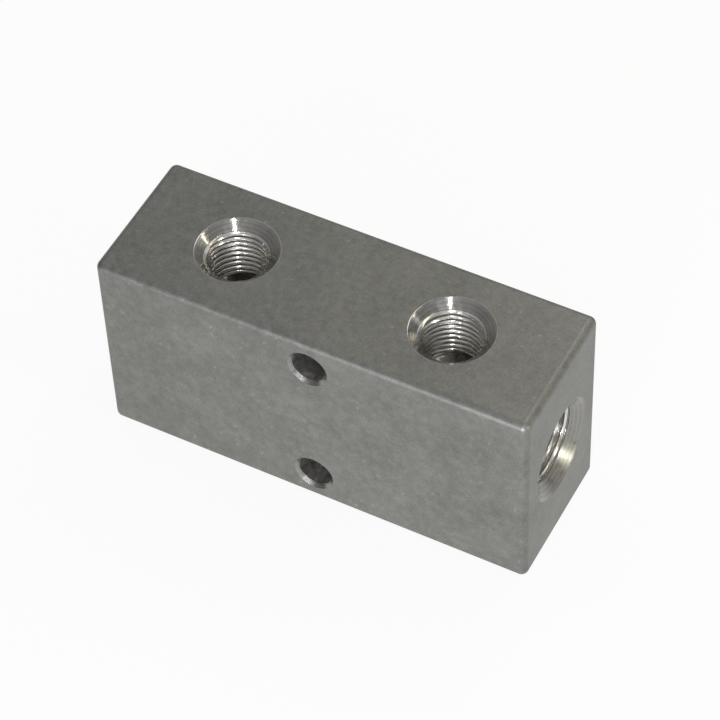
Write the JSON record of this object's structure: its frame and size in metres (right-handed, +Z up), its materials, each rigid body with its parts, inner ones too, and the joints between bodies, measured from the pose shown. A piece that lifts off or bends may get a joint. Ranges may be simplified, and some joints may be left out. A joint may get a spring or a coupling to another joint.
{
  "type": "air manifold block",
  "caption": "Rectangular aluminium air manifold: a through gallery tapped at each end feeds tapped outlets on top, and plain cross holes take the mounting screws.",
  "frame": {"origin": "centre of the underside", "axes": "+X along the gallery to the right end port, +Y from front to back along the mounting holes, +Z up out of the outlets"},
  "size_m": [0.09, 0.03, 0.045],
  "materials": {
    "tumbled_aluminium": "tumbled to a fine satin on the outside, bright machined inside the bores"
  },
  "bodies": {
    "root": {"manifold_block": "tumbled_aluminium"}
  },
  "joints": []
}
